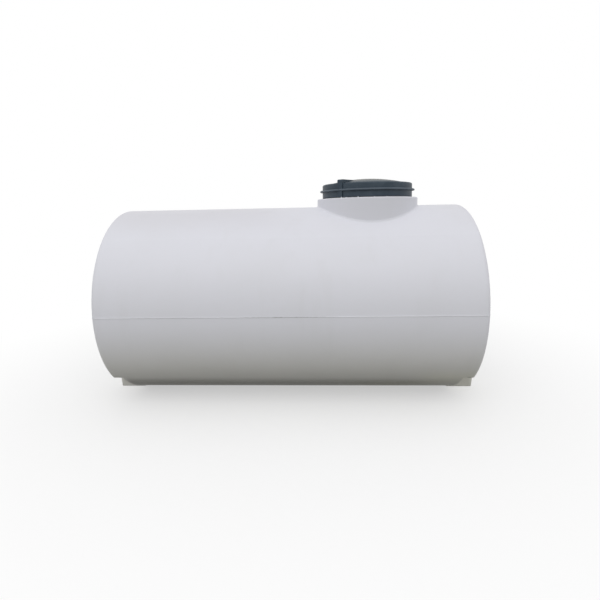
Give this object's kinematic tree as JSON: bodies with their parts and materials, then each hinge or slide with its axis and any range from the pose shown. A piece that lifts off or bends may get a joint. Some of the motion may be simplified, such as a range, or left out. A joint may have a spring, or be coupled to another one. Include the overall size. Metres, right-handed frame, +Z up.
{
  "type": "horizontal water storage tank",
  "caption": "Horizontal white polyethylene water storage tank with dished ends, a round manway boss, a dark screw lid and moulded feet",
  "frame": {"origin": "on the ground, under the middle of the tank", "axes": "+X runs along the barrel towards the end nearer the manway, +Y is across the barrel to the back, +Z is up"},
  "size_m": [2.5256, 1.254, 1.437],
  "materials": {
    "tank_white": "matte",
    "flash_grey": "matte",
    "lid_grey": "matte",
    "gasket_black": "matte"
  },
  "bodies": {
    "tank": {"barrel_crown_front": "tank_white", "barrel_crown_back": "tank_white", "barrel_shoulder_front": "tank_white", "barrel_shoulder_back": "tank_white", "barrel_bilge_front": "tank_white", "barrel_bilge_back": "tank_white", "barrel_belly_front": "tank_white", "barrel_belly_back": "tank_white", "left_end_upper": "tank_white", "left_end_lower": "tank_white", "right_end_upper": "tank_white", "right_end_lower": "tank_white", "left_foot_ledge": "tank_white", "right_foot_ledge": "tank_white", "left_foot": "tank_white", "right_foot": "tank_white", "parting_flash": "flash_grey", "boss_wall": "tank_white", "boss_deck": "tank_white", "neck": "tank_white"},
    "gasket": {"lid_gasket": "gasket_black"},
    "lid": {"lid_skirt": "lid_grey", "lid_flange": "lid_grey", "lid_crown": "lid_grey", "lid_grip_lugs": "lid_grey"}
  },
  "joints": [
    {"name": "lid_rise", "type": "slide", "parent": "tank", "child": "gasket", "axis": [0, 0, 1], "range_m": [0, 0.08]},
    {"name": "lid_turn", "type": "hinge", "parent": "gasket", "child": "lid", "pos_m": [0.53, 0, 1.389], "axis": [0, 0, 1], "range_deg": [0, 1170]}
  ],
  "couplings": [
    {"joint": "lid_rise", "follows": "lid_turn", "m_per_rad": 0.0038197}
  ]
}
